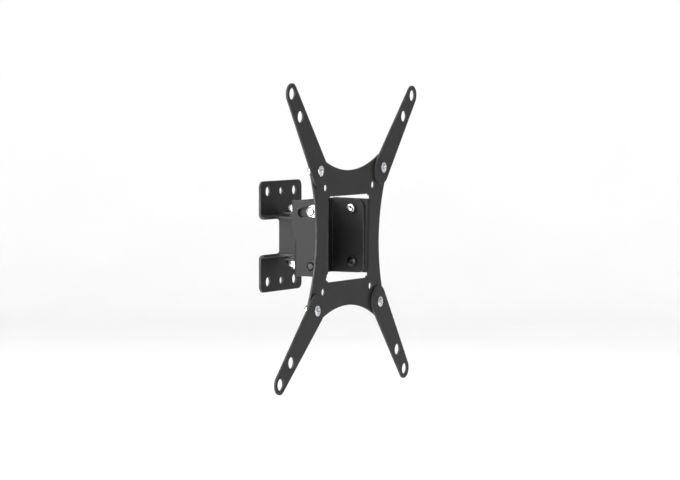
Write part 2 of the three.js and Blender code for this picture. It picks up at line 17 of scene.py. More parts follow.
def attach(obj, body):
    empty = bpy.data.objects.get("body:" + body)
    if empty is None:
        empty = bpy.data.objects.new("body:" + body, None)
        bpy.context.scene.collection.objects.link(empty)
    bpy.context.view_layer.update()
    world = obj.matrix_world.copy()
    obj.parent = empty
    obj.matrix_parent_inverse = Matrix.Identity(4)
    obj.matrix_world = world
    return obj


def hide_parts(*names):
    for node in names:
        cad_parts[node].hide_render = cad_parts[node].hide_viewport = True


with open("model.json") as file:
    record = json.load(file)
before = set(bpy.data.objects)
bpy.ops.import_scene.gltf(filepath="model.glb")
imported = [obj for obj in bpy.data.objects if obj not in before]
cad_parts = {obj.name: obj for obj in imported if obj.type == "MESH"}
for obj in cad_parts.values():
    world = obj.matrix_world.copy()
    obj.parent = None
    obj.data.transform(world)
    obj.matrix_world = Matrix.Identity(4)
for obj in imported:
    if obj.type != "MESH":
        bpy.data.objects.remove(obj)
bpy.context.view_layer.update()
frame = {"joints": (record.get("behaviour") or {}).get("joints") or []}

# ---------- sizes ----------

MM = 0.001
SEAT_GAP = 0.1
BOLT_CLEARANCE = 0.15
BUSH_FIT = 0.1
TURN_GAP = 0.5

# Sheet metal
WALL_SHEET = 2
BRACKET_SHEET = 2
YOKE_SHEET = 2
PLATE_SHEET = 1.6
ARM_SHEET = 1.6
BEND_INNER = 1.0

# Wall plate
FLAG_HALF_WIDTH = 31.5
FLAG_TOP = 40.7
FLAG_CORNER = 5
FLAG_INNER_CORNER = 3.5
FLAG_BEND_INNER = 1.5
LIP_STRAIGHT = 1.3
WALL_HOLE_HEIGHT = 33.1
WALL_HOLE_SPACING = 20.3
OUTER_WALL_HOLE = 3.5
CENTRE_WALL_HOLE = 2.7
EAR_INNER_HEIGHT = 12.8
EAR_HALF_WIDTH = 10.2
EAR_FILLET = 3
NECK_FRONT = 7
NECK_REAR = 10.4
NECK_CORNER = 3.5
NECK_FILLET = 2.2
NECK_BURIED = 1.2  # how far the neck runs into the ears that it is welded to
NECK_SIDE_STEP = 0.03  # how far the neck's sides lie inside the ears' edges

# Swivel pivot
PIVOT_TO_WALL = 14.8
PIVOT_BOLT = 4
PIVOT_HEAD_ACROSS = 13
PIVOT_HEAD_HEIGHT = 3.5
PIVOT_NUT_HEIGHT = 4.2
PIVOT_TAIL = 1
PIVOT_PITCH = 1.25
PIVOT_WASHER = 8.5
PIVOT_WASHER_THICKNESS = 1.4
BUSH_WALL = 0.85
BUSH_FLANGE = 8.5
BUSH_FLANGE_THICKNESS = 1

# Swivel yoke and its rivets
WING_HALF_WIDTH = 20
WING_HALF_HEIGHT = 13.5
WING_CORNER = 3
WING_FILLET = 1.2
RIVET_SPACING = 15.2
RIVET_HEIGHT = 8.5
RIVET_SHANK = 2
RIVET_HEAD = 3.6
RIVET_HEAD_HEIGHT = 1.4

# Swivel bracket
BRACKET_HALF_HEIGHT = 27.5
BRACKET_HALF_WIDTH = 29.6
BRACKET_TOP_CORNER = 8
BRACKET_BOTTOM_CORNER = 4.2
PIVOT_TO_SCREEN = 42.3

# Screen plate
ARM_PIVOT_OFFSET = 50
VESA_HOLE_OFFSET = 37.5
VESA_HOLE = 2.5
PLATE_WAIST = 49.4
LOBE = 10.5
WINDOW_HALF_HEIGHT = 31
WINDOW_CORNER = 1
RELIEF_HEIGHT = 2.4
RELIEF_CORNER = 1.2
SCREEN_EAR_GAP = 1.4
SCREEN_EAR_HALF_HEIGHT = 27.4
SCREEN_EAR_DEPTH = 30.1
SCREEN_EAR_REAR_LOW = 9.5
SCREEN_EAR_FOOT = 20.7
SCREEN_EAR_CORNER = 0.6
TILT_DEPTH = 10.7
TILT_HEIGHT = -19.5
LOCK_HEIGHT = 39.5
SLOT_CLEARANCE = 0.75

# Small fasteners
SMALL_BOLT = 2.5
SMALL_TAIL = 1
SMALL_PITCH = 0.8
CAP_HEAD = 3.3
CAP_HEAD_HEIGHT = 3.8
BUTTON_HEAD = 3.9
BUTTON_HEAD_HEIGHT = 2.4
SOCKET_ACROSS = 3
SOCKET_DEPTH = 1.6
SMALL_NUT_ACROSS = 8
SMALL_NUT_HEIGHT = 4
SMALL_WASHER = 4.5
SMALL_WASHER_THICKNESS = 1
SPACER = 6
PAN_HEAD = 3.9
PAN_HEAD_HEIGHT = 1.5
CROSS_LENGTH = 4.4
CROSS_WIDTH = 1
CROSS_DEPTH = 1.1

# Arms
ARM_LENGTH = ARM_PIVOT_OFFSET * math.sqrt(2)
ARM_BASE = 11
ARM_BASE_SHIFT = 1.6  # the rounded base's centre, beyond the bolt
ARM_TIP = 7.4
ARM_HOLE = 4.1
ARM_MIDDLE_HOLE = 50

# Fineness
ARC_STEP = 4  # degrees
RIM = 0.45  # radius of a sheet's rolled rim
RIM_STEPS = 4
FOLD_STEPS = 12
SPIN_STEPS = 72
SOCKET_STEPS = 144
THREAD_STEPS = 8  # rings to each turn of a thread
SHARP_ANGLE = 38  # degrees; creases sharper than this aren't smoothed
WHOLE_TURN = 360

# Sizes that follow
EAR_OUTER_HEIGHT = EAR_INNER_HEIGHT + WALL_SHEET
BUSH_BORE = PIVOT_BOLT + BOLT_CLEARANCE
BUSH_SLEEVE = BUSH_BORE + BUSH_WALL
YOKE_TAB_OUTER = EAR_OUTER_HEIGHT + 2 * SEAT_GAP + BUSH_FLANGE_THICKNESS + YOKE_SHEET
PIVOT_WASHER_BASE = YOKE_TAB_OUTER + SEAT_GAP
PIVOT_HEAD_BASE = PIVOT_WASHER_BASE + PIVOT_WASHER_THICKNESS + SEAT_GAP
YOKE_REAR = EAR_HALF_WIDTH + TURN_GAP
YOKE_FRONT = YOKE_REAR + YOKE_SHEET
BRACKET_REAR = YOKE_FRONT + SEAT_GAP
BRACKET_FRONT = PIVOT_TO_SCREEN - PLATE_SHEET
TILT_AXIS = PIVOT_TO_SCREEN - TILT_DEPTH
SIDE_INNER = BRACKET_HALF_WIDTH - BRACKET_SHEET
SCREEN_EAR_INNER = BRACKET_HALF_WIDTH + SCREEN_EAR_GAP
SCREEN_EAR_OUTER = SCREEN_EAR_INNER + PLATE_SHEET
SMALL_BORE = SMALL_BOLT + BOLT_CLEARANCE
SLOT_HALF_WIDTH = SMALL_BOLT + SLOT_CLEARANCE

# ---------- frames of the moving bodies ----------

JOINTS = {joint["name"]: joint for joint in frame["joints"]}
plate_normal = Vector(JOINTS["arm_upper_left_turn"]["axis"])
REST_LEAN = math.atan2(-plate_normal.z, -plate_normal.y)
TILT_RANGE = JOINTS["tilt_hinge"]["range_deg"]
CORNERS = {
    "upper_left": (-1, 1),
    "upper_right": (1, 1),
    "lower_right": (1, -1),
    "lower_left": (-1, -1),
}
ARM_ANGLES = {name: -JOINTS[f"arm_{name}_turn"]["range_deg"][0] for name in CORNERS}


def shift(x=0, y=0, z=0):
    return Matrix.Translation(Vector((x, y, z)) * MM)


def turn(degrees, axis):
    return Matrix.Rotation(math.radians(degrees), 4, axis)


WALL = Matrix.Identity(4)
SWIVEL = Matrix.Translation(JOINTS["swivel_hinge"]["pos_m"])
TILT = Matrix.Translation(JOINTS["tilt_hinge"]["pos_m"]) @ Matrix.Rotation(REST_LEAN, 4, "X")
SCREEN = TILT @ shift(0, -TILT_DEPTH, -TILT_HEIGHT)

# ---------- outlines ----------


def arc(x, y, radius, start, end, step=ARC_STEP):
    """Points along an arc, from one angle to another in degrees."""
    count = max(2, math.ceil(abs(end - start) / step))
    angles = [math.radians(start + (end - start) * i / count) for i in range(count + 1)]
    return [(x + radius * math.cos(a), y + radius * math.sin(a)) for a in angles]


def circle(x, y, radius):
    return arc(x, y, radius, 0, WHOLE_TURN)[:-1]


def rounded_rectangle(left, bottom, right, top, corners):
    """Corner radii start at the lower left and go anticlockwise."""
    a, b, c, d = corners
    return (
        arc(left + a, bottom + a, a, 180, 270)
        + arc(right - b, bottom + b, b, 270, 360)
        + arc(right - c, top - c, c, 0, 90)
        + arc(left + d, top - d, d, 90, 180)
    )


def area_of(loop):
    after = loop[1:] + loop[:1]
    return sum(a[0] * b[1] - b[0] * a[1] for a, b in zip(loop, after)) / 2


def cleaned(loop, outer):
    """The loop without repeated points, anticlockwise if it is the outer one and clockwise if it is a hole."""
    points = [Vector(p) for p in loop]
    kept = [p for p, q in zip(points, points[-1:] + points[:-1]) if (p - q).length > 1e-4]
    return kept if (area_of(kept) > 0) == outer else kept[::-1]


def holds(loop, point):
    """Whether the point lies inside the loop."""
    crossings = 0
    for a, b in zip(loop, loop[1:] + loop[:1]):
        if (a.y > point.y) != (b.y > point.y):
            crossings += point.x < a.x + (point.y - a.y) / (b.y - a.y) * (b.x - a.x)
    return crossings % 2 == 1


def inset(loop, distance):
    """The loop moved to its left, with mitred corners."""
    moved = []
    for before, here, after in zip(loop[-1:] + loop[:-1], loop, loop[1:] + loop[:1]):
        incoming = (here - before).normalized()
        bisector = (incoming + (after - here).normalized()).normalized()
        left = Vector((-bisector.y, bisector.x))
        square = Vector((-incoming.y, incoming.x))
        moved.append(here + left * distance / max(0.5, left.dot(square)))
    return moved


# ---------- meshes ----------


def finish_mesh(name, mesh_data, place):
    """Turns a bmesh in millimetres into an object whose mesh is in the row frame."""
    bmesh.ops.recalc_face_normals(mesh_data, faces=mesh_data.faces)
    mesh = bpy.data.meshes.new(name)
    mesh_data.to_mesh(mesh)
    mesh_data.free()
    mesh.transform(place @ Matrix.Scale(MM, 4))
    piece = bpy.data.objects.new(name, mesh)
    bpy.context.scene.collection.objects.link(piece)
    for polygon in mesh.polygons:
        polygon.use_smooth = True
    mesh.set_sharp_from_angle(angle=math.radians(SHARP_ANGLE))
    normals = piece.modifiers.new("even_normals", "WEIGHTED_NORMAL")
    normals.keep_sharp = True
    normals.weight = 100
    return piece


def rim_rings(thickness):
    """How far each ring of a rolled rim is inset, and its height, from the front face to the rear one."""
    quarter = [math.radians(90 * i / RIM_STEPS) for i in range(RIM_STEPS + 1)]
    front = [(RIM * (1 - math.sin(a)), thickness - RIM * (1 - math.cos(a))) for a in quarter]
    return front + [(inwards, thickness - height) for inwards, height in front[::-1]]


def blank(outer, holes, thickness):
    """A flat sheet with rolled rims as a bmesh: outline in X and Y, rear face at z = 0.

    Rim points have a rim weight.
    """
    sheet = bmesh.new()
    weight = sheet.verts.layers.float.new("rim")
    loops = [cleaned(outer, True)] + [cleaned(hole, False) for hole in holes]
    face_points, face_edges, front, rear, voids = [], [], [], [], []
    for loop in loops:
        rings = []
        for inwards, height in rim_rings(thickness):
            ring = [sheet.verts.new((p.x, p.y, height)) for p in inset(loop, inwards)]
            for vertex in ring:
                vertex[weight] = 1 - inwards / RIM
            rings.append(ring)
        for upper, lower in zip(rings, rings[1:]):
            for i in range(len(upper)):
                sheet.faces.new((upper[i - 1], upper[i], lower[i], lower[i - 1]))
        first = len(face_points)
        face_points += inset(loop, RIM)
        voids.append(face_points[first:])
        face_edges += [(first + i, first + (i + 1) % len(loop)) for i in range(len(loop))]
        front += rings[0]
        rear += rings[-1]
    points, _, triangles, origins, _, _ = delaunay_2d_cdt(face_points, face_edges, [], 1, 1e-6)
    for triangle in triangles:
        middle = sum((points[i] for i in triangle), Vector((0, 0))) / 3
        if any(holds(void, middle) for void in voids[1:]):
            continue
        corners = [origins[i][0] for i in triangle]
        sheet.faces.new([front[i] for i in corners])
        sheet.faces.new([rear[i] for i in reversed(corners)])
    return sheet


def crease(sheet, axis, values):
    """Adds a row of points across the sheet at each value of x (axis 0) or y (axis 1), to bend it at."""
    for value in values:
        point = Vector((0, 0, 0))
        point[axis] = value
        normal = Vector((0, 0, 0))
        normal[axis] = 1
        everything = sheet.verts[:] + sheet.edges[:] + sheet.faces[:]
        bmesh.ops.bisect_plane(sheet, geom=everything, dist=1e-4, plane_co=point, plane_no=normal)


def fold_run(inner, sheet):
    """Length of the blank that one right-angled fold takes up."""
    return (inner + sheet / 2) * math.pi / 2


def fold_rows(start, inner, sheet):
    run = fold_run(inner, sheet)
    return [start + run * i / FOLD_STEPS for i in range(FOLD_STEPS + 1)]


def folded(along, depth, start, inner, sheet):
    """Reach and rise of a point of the blank, once the blank is folded towards +depth beyond the start."""
    over = along - start
    if over <= 0:
        return along, depth
    radius = inner + sheet - depth
    run = fold_run(inner, sheet)
    if over < run:
        angle = over / run * math.pi / 2
        return start + radius * math.sin(angle), sheet + inner - radius * math.cos(angle)
    return start + radius, sheet + inner + over - run


def reshape(sheet, rule):
    for vertex in sheet.verts:
        vertex.co = rule(*vertex.co)


def spun(rings, angles=None, closed=False):
    """A bmesh of rings round Z. Each ring is (radius, height) or a function of the angle that gives both.

    A closed one joins its last ring to its first; an open one is capped at both ends.
    """
    body = bmesh.new()
    angles = angles or [math.tau * i / SPIN_STEPS for i in range(SPIN_STEPS)]
    rows = []
    for ring in rings:
        row = []
        for angle in angles:
            radius, height = ring(angle) if callable(ring) else ring
            row.append(body.verts.new((radius * math.cos(angle), radius * math.sin(angle), height)))
        rows.append(row)
    pairs = list(zip(rows, rows[1:])) + ([(rows[-1], rows[0])] if closed else [])
    for lower, upper in pairs:
        for i in range(len(angles)):
            body.faces.new((lower[i - 1], lower[i], upper[i], upper[i - 1]))
    if not closed:
        body.faces.new(rows[0])
        body.faces.new(rows[-1])
    return body


# ---------- fastener shapes, with the head standing on z = 0 ----------


def hex_reach(across, angle):
    """Distance from the axis to the side of a hexagon, with its corners just taken off."""
    sector = math.radians(60)
    offset = (angle + sector / 2) % sector - sector / 2
    return min(across / 2 / math.cos(offset), across / 2 / math.cos(sector / 2) * 0.985)


def chamfered_hex(across, base, height, flip=1):
    """Rings up one half of a hexagonal side whose end is turned to a 30 degree chamfer."""
    land = across / 2 * 0.95
    slope = math.tan(math.radians(30))

    def side_end(angle):
        reach = hex_reach(across, angle)
        return reach, base + flip * (height - max(0, reach - land) * slope)

    return [side_end, (land, base + flip * height)]


def hex_head(across, height):
    foot = lambda angle: (hex_reach(across, angle), 0)
    crown = across / 2 * 0.6
    top = [(crown, height), (crown * 0.4, height)]
    return [foot] + chamfered_hex(across, 0, height) + top


def thread(radius, pitch, start, end):
    """Rings of a thread that winds down from one height to another."""
    depth = pitch * 0.5
    count = max(2, round(abs(end - start) / pitch * THREAD_STEPS))

    def ring_at(height):
        def ring(angle):
            phase = (height / pitch - angle / math.tau) % 1
            ridge = abs(2 * phase - 1)
            return radius - depth * min(1, 1.15 * (1 - ridge)), height

        return ring

    return [ring_at(start + (end - start) * i / count) for i in range(count + 1)]


def shank(radius, pitch, length, threaded):
    """Rings down a bolt's shank, with its last stretch threaded and its tip chamfered."""
    tip = radius - pitch * 0.55
    run = [(tip * 0.5, -length), (tip, -length)]
    run += thread(radius, pitch, -length + pitch * 0.3, -length + threaded)
    return run + [(radius, -length + threaded + 0.05), (radius, 0)]


def small_shank(length):
    return shank(SMALL_BOLT, SMALL_PITCH, length, SMALL_TAIL + SMALL_PITCH)


def dome(radius, base, height, steps=10):
    """Rings up a domed head whose edge stands straight for a third of its height."""
    straight = height / 3
    rise = height - straight
    angles = [math.radians(90 * i / steps) for i in range(steps)]
    return [(radius, base)] + [(radius * math.cos(a), base + straight + rise * math.sin(a)) for a in angles]


SOCKET_ANGLES = [math.tau * i / SOCKET_STEPS for i in range(SOCKET_STEPS)]


def hex_socket(top):
    """Rings down a hexagonal socket from its mouth."""
    mouth = lambda angle: (hex_reach(SOCKET_ACROSS, angle) + 0.15, top)
    edge = lambda angle: (hex_reach(SOCKET_ACROSS, angle), top - 0.15)
    floor = lambda angle: (hex_reach(SOCKET_ACROSS, angle), top - SOCKET_DEPTH)
    return [mouth, edge, floor, (SOCKET_ACROSS * 0.15, top - SOCKET_DEPTH * 1.15)]


def cap_bolt(length):
    """A socket cap screw with a finely knurled side."""
    knurl = lambda height: lambda angle: (CAP_HEAD - 0.09 * (1 + math.cos(36 * angle)) / 2, height)
    edge = 0.35
    head = [(CAP_HEAD - edge, 0), (CAP_HEAD - 0.1, edge)]
    head += [knurl(edge + 0.1), knurl(CAP_HEAD_HEIGHT - edge - 0.2)]
    head += [(CAP_HEAD - 0.15, CAP_HEAD_HEIGHT - edge), (CAP_HEAD - 0.3, CAP_HEAD_HEIGHT - 0.1)]
    head += [(CAP_HEAD - 0.5, CAP_HEAD_HEIGHT)]
    return spun(small_shank(length) + head + hex_socket(CAP_HEAD_HEIGHT), SOCKET_ANGLES)


def button_bolt(length):
    head = dome(BUTTON_HEAD, 0, BUTTON_HEAD_HEIGHT)
    crown = [ring for ring in head if ring[0] > SOCKET_ACROSS * 0.75]
    return spun(small_shank(length) + crown + hex_socket(BUTTON_HEAD_HEIGHT), SOCKET_ANGLES)


def cross_reach(angle):
    """Distance from the axis to the edge of a cross-shaped recess."""
    quarter = math.pi / 2
    offset = (angle + quarter / 2) % quarter - quarter / 2
    along = CROSS_LENGTH / 2 / math.cos(offset)
    return min(along, CROSS_WIDTH / 2 / max(abs(math.sin(offset)), 1e-6))


def cross_angles():
    """Angles for a cross recess: even steps, with extra ones at its eight outer and four inner corners."""
    quarter = math.pi / 2
    corner = math.atan2(CROSS_WIDTH, CROSS_LENGTH)
    offsets = {round(quarter * i / 24 - quarter / 2, 6) for i in range(24)}
    offsets |= {round(sign * corner * share, 6) for sign in (-1, 1) for share in (0.5, 0.96, 1.04, 1.5)}
    return sorted(quarter * k + offset for k in range(4) for offset in offsets)


def pan_bolt(length):
    """A low pan-head screw with a cross recess that narrows as it goes down."""
    head = dome(PAN_HEAD, 0, PAN_HEAD_HEIGHT, 14)
    outside = [ring for ring in head if ring[0] > CROSS_LENGTH / 2 + 0.25]
    slope = lambda reach: PAN_HEAD_HEIGHT / 3 * (1 + 2 * math.sqrt(max(0, 1 - (reach / PAN_HEAD) ** 2)))
    mouth = lambda angle: (cross_reach(angle) + 0.07, slope(cross_reach(angle) + 0.07))
    wall = lambda angle: (cross_reach(angle), slope(cross_reach(angle)) - 0.08)
    floor = lambda angle: (cross_reach(angle) * 0.55, PAN_HEAD_HEIGHT - CROSS_DEPTH)
    point = (0.1, PAN_HEAD_HEIGHT - CROSS_DEPTH * 1.1)
    return spun(small_shank(length) + outside + [mouth, wall, floor, point], cross_angles())


def hex_bolt():
    length = 2 * PIVOT_HEAD_BASE + PIVOT_NUT_HEIGHT + PIVOT_TAIL
    body = shank(PIVOT_BOLT, PIVOT_PITCH, length, PIVOT_NUT_HEIGHT + PIVOT_TAIL)
    return spun(body + hex_head(PIVOT_HEAD_ACROSS, PIVOT_HEAD_HEIGHT))


def lock_nut(across, bolt, height):
    """A self-locking nut: a hexagon, chamfered at both ends, with a turned collar on its outer end."""
    collar = height * 0.28
    hexagon = height - collar
    bore = bolt + BOLT_CLEARANCE
    reach = across / 2 * 0.9
    edge = min(0.5, collar / 2)
    lower = chamfered_hex(across, hexagon / 2, hexagon / 2, -1)[::-1]
    upper = chamfered_hex(across, hexagon / 2, hexagon / 2)
    turned = [(reach, hexagon), (reach, height - edge), (reach - edge * 0.3, height - edge * 0.3)]
    turned += [(reach - edge, height), (bore + 0.5, height), (bore, height - 0.4), (bore, 0.3), (bore + 0.4, 0)]
    return spun(lower + upper + turned, closed=True)


def washer(outer, bore, thickness, edge=0.18):
    inner = bore + BOLT_CLEARANCE
    profile = [
        (inner, edge),
        (inner + edge, 0),
        (outer - edge, 0),
        (outer - edge * 0.3, edge * 0.3),
        (outer, edge),
        (outer, thickness - edge),
        (outer - edge * 0.3, thickness - edge * 0.3),
        (outer - edge, thickness),
        (inner + edge, thickness),
        (inner, thickness - edge),
    ]
    return spun(profile, closed=True)


def rivet():
    """A rivet with two pan heads and a small dimple in each, gripping the yoke and the bracket."""
    base = (YOKE_SHEET + SEAT_GAP + BRACKET_SHEET) / 2 + SEAT_GAP
    head = dome(RIVET_HEAD, base, RIVET_HEAD_HEIGHT)
    top = base + RIVET_HEAD_HEIGHT
    crown = [(RIVET_SHANK, base)] + head[:-1] + [(0.9, top - 0.06), (0.6, top - 0.14), (0.25, top - 0.2)]
    return spun([(radius, -height) for radius, height in crown[::-1]] + crown)


def bushing():
    edge = 0.2
    profile = [
        (BUSH_BORE, -WALL_SHEET - SEAT_GAP),
        (BUSH_SLEEVE, -WALL_SHEET - SEAT_GAP),
        (BUSH_SLEEVE, 0),
        (BUSH_FLANGE - edge, 0),
        (BUSH_FLANGE, edge),
        (BUSH_FLANGE, BUSH_FLANGE_THICKNESS - edge),
        (BUSH_FLANGE - edge, BUSH_FLANGE_THICKNESS),
        (BUSH_BORE + edge, BUSH_FLANGE_THICKNESS),
        (BUSH_BORE, BUSH_FLANGE_THICKNESS - edge),
    ]
    return spun(profile, closed=True)


# ---------- pressed parts ----------


def wall_half(side):
    """One flag with its lip and ear; y of the blank runs down from the start of the fold."""
    fold_height = EAR_INNER_HEIGHT + FLAG_BEND_INNER + WALL_SHEET
    run = fold_run(FLAG_BEND_INNER, WALL_SHEET)
    top = fold_height - FLAG_TOP
    lip = run + LIP_STRAIGHT
    pivot = run + PIVOT_TO_WALL - FLAG_BEND_INNER - WALL_SHEET
    wide = EAR_HALF_WIDTH + EAR_FILLET
    left, right = FLAG_HALF_WIDTH - FLAG_INNER_CORNER, FLAG_HALF_WIDTH - FLAG_CORNER
    outline = arc(0, pivot, EAR_HALF_WIDTH, 0, 180)
    outline += arc(-wide, lip + EAR_FILLET, EAR_FILLET, 0, -90)
    outline += arc(-left, lip - FLAG_INNER_CORNER, FLAG_INNER_CORNER, 90, 180)
    outline += arc(-right, top + FLAG_CORNER, FLAG_CORNER, 180, 270)
    outline += arc(right, top + FLAG_CORNER, FLAG_CORNER, 270, 360)
    outline += arc(left, lip - FLAG_INNER_CORNER, FLAG_INNER_CORNER, 0, 90)
    outline += arc(wide, lip + EAR_FILLET, EAR_FILLET, 270, 180)
    hole_line = fold_height - WALL_HOLE_HEIGHT
    holes = [
        circle(-WALL_HOLE_SPACING, hole_line, OUTER_WALL_HOLE),
        circle(0, hole_line, CENTRE_WALL_HOLE),
        circle(WALL_HOLE_SPACING, hole_line, OUTER_WALL_HOLE),
        circle(0, pivot, BUSH_SLEEVE + BUSH_FIT),
    ]
    sheet = blank(outline, holes, WALL_SHEET)
    crease(sheet, 1, fold_rows(0, FLAG_BEND_INNER, WALL_SHEET))

    def rule(x, y, depth):
        reach, rise = folded(y, depth, 0, FLAG_BEND_INNER, WALL_SHEET)
        return x, -rise, (fold_height - reach) * side

    reshape(sheet, rule)
    return sheet


def neck():
    """The channel that joins the two ears; its rear edges flare out to meet them."""
    start = EAR_HALF_WIDTH - NECK_SIDE_STEP - NECK_CORNER
    rear = start + fold_run(BEND_INNER, WALL_SHEET) + NECK_FRONT + NECK_REAR - NECK_CORNER
    height = EAR_INNER_HEIGHT + NECK_BURIED
    flare_height = EAR_INNER_HEIGHT - NECK_FILLET
    right = [(rear + NECK_FILLET, -height)]
    right += arc(rear + NECK_FILLET, -flare_height, NECK_FILLET, 270, 180)
    right += arc(rear + NECK_FILLET, flare_height, NECK_FILLET, 180, 90)
    right += [(rear + NECK_FILLET, height)]
    outline = right + [(-x, z) for x, z in right[::-1]]
    sheet = blank(outline, [], WALL_SHEET)
    for side in (-1, 1):
        crease(sheet, 0, [side * row for row in fold_rows(start, BEND_INNER, WALL_SHEET)])

    def rule(x, y, depth):
        reach, rise = folded(abs(x), depth, start, BEND_INNER, WALL_SHEET)
        return math.copysign(reach, x), rise - NECK_FRONT - PIVOT_TO_WALL, y

    reshape(sheet, rule)
    return sheet


def wall_plate():
    whole = wall_half(1)
    for part in (wall_half(-1), neck()):
        carrier = bpy.data.meshes.new("carrier")
        bmesh.ops.recalc_face_normals(part, faces=part.faces)
        part.to_mesh(carrier)
        part.free()
        whole.from_mesh(carrier)
        bpy.data.meshes.remove(carrier)
    return whole


def swivel_yoke():
    """The web with its wings, and a tab bent back above and below."""
    start = YOKE_TAB_OUTER - BEND_INNER - YOKE_SHEET
    pivot = start + fold_run(BEND_INNER, YOKE_SHEET) + YOKE_FRONT - BEND_INNER - YOKE_SHEET
    wing_x, wing_z = WING_HALF_WIDTH - WING_CORNER, WING_HALF_HEIGHT - WING_CORNER
    inner_x, inner_z = EAR_HALF_WIDTH + WING_FILLET, WING_HALF_HEIGHT + WING_FILLET
    upper = arc(wing_x, wing_z, WING_CORNER, 0, 90)
    upper += arc(inner_x, inner_z, WING_FILLET, 270, 180)
    upper += arc(0, pivot, EAR_HALF_WIDTH, 0, 180)
    upper += arc(-inner_x, inner_z, WING_FILLET, 0, -90)
    upper += arc(-wing_x, wing_z, WING_CORNER, 90, 180)
    outline = upper + [(-x, -z) for x, z in upper]
    holes = [circle(0, pivot, BUSH_BORE), circle(0, -pivot, BUSH_BORE)]
    holes += [
        circle(x * RIVET_SPACING, z * RIVET_HEIGHT, RIVET_SHANK + BUSH_FIT) for x, z in CORNERS.values()
    ]
    sheet = blank(outline, holes, YOKE_SHEET)
    for side in (-1, 1):
        crease(sheet, 1, [side * row for row in fold_rows(start, BEND_INNER, YOKE_SHEET)])

    def rule(x, y, depth):
        reach, rise = folded(abs(y), depth, start, BEND_INNER, YOKE_SHEET)
        return x, rise - YOKE_FRONT, math.copysign(reach, y)

    reshape(sheet, rule)
    return sheet


def swivel_bracket():
    """A U channel, open towards the screen, with a tilt hole and a lock hole in each side."""
    start = BRACKET_HALF_WIDTH - BEND_INNER - BRACKET_SHEET
    flat = start + fold_run(BEND_INNER, BRACKET_SHEET) - BRACKET_REAR - BEND_INNER - BRACKET_SHEET
    end = flat + BRACKET_FRONT
    tall = BRACKET_HALF_HEIGHT
    corners = (BRACKET_BOTTOM_CORNER, BRACKET_BOTTOM_CORNER, BRACKET_TOP_CORNER, BRACKET_TOP_CORNER)
    outline = rounded_rectangle(-end, -tall, end, tall, corners)
    heights = (TILT_HEIGHT, TILT_HEIGHT + LOCK_HEIGHT)
    holes = [circle(side * (flat + TILT_AXIS), z, SMALL_BORE) for side in (-1, 1) for z in heights]
    holes += [
        circle(x * RIVET_SPACING, z * RIVET_HEIGHT, RIVET_SHANK + BUSH_FIT) for x, z in CORNERS.values()
    ]
    sheet = blank(outline, holes, BRACKET_SHEET)
    for side in (-1, 1):
        crease(sheet, 0, [side * row for row in fold_rows(start, BEND_INNER, BRACKET_SHEET)])

    def rule(x, y, depth):
        reach, rise = folded(abs(x), depth, start, BEND_INNER, BRACKET_SHEET)
        return math.copysign(reach, x), -BRACKET_REAR - rise, y

    reshape(sheet, rule)
    return sheet


def star_outline():
    """Four corner lobes joined by hollow arcs that meet them smoothly."""
    step = PLATE_WAIST - ARM_PIVOT_OFFSET
    hollow = (ARM_PIVOT_OFFSET**2 + step**2 - LOBE**2) / (2 * (LOBE - step))
    centre = PLATE_WAIST + hollow
    lean = math.degrees(math.atan2(centre - ARM_PIVOT_OFFSET, -ARM_PIVOT_OFFSET))
    reach = ARM_PIVOT_OFFSET * math.sqrt(2)
    outline = []
    for start in (0, 90, 180, 270):
        diagonal, side = math.radians(start + 45), math.radians(start + 90)
        x, y = reach * math.cos(diagonal), reach * math.sin(diagonal)
        outline += arc(x, y, LOBE, start + 90 - lean, start + lean)
        x, y = centre * math.cos(side), centre * math.sin(side)
        outline += arc(x, y, hollow, start + lean + 180, start - lean + 360, 2)[1:-1]
    return outline


def quadratic(start, middle, end, steps=16):
    shares = [i / steps for i in range(steps + 1)]
    return [
        tuple((1 - t) ** 2 * a + 2 * t * (1 - t) * b + t * t * c for a, b, c in zip(start, middle, end))
        for t in shares
    ]


def ear_outline():
    """The ear's free edge from the side, from its top at the fold round to its foot, as (depth, height)."""
    corner = SCREEN_EAR_CORNER
    tall = SCREEN_EAR_HALF_HEIGHT
    start = (SCREEN_EAR_DEPTH, SCREEN_EAR_REAR_LOW)
    middle = (SCREEN_EAR_FOOT + corner, TILT_HEIGHT + SCREEN_EAR_REAR_LOW / 2)
    edge = arc(SCREEN_EAR_DEPTH - corner, tall - corner, corner, 90, 0)
    return edge + quadratic(start, middle, (SCREEN_EAR_FOOT, -tall))


def tilt_slot():
    """The curved slot round the tilt axis that the lock bolt slides in, as (depth, height)."""
    lean = math.degrees(REST_LEAN)
    rear, front = TILT_RANGE[1] + lean, TILT_RANGE[0] + lean
    ends = []
    for angle in (rear, front):
        a = math.radians(angle)
        ends.append((TILT_DEPTH + LOCK_HEIGHT * math.sin(a), TILT_HEIGHT + LOCK_HEIGHT * math.cos(a)))
    outline = arc(TILT_DEPTH, TILT_HEIGHT, LOCK_HEIGHT + SLOT_HALF_WIDTH, 90 - front, 90 - rear, 1.5)
    outline += arc(*ends[0], SLOT_HALF_WIDTH, 90 - rear, -90 - rear)
    outline += arc(TILT_DEPTH, TILT_HEIGHT, LOCK_HEIGHT - SLOT_HALF_WIDTH, 90 - rear, 90 - front, 1.5)
    return outline + arc(*ends[1], SLOT_HALF_WIDTH, 270 - front, 90 - front)


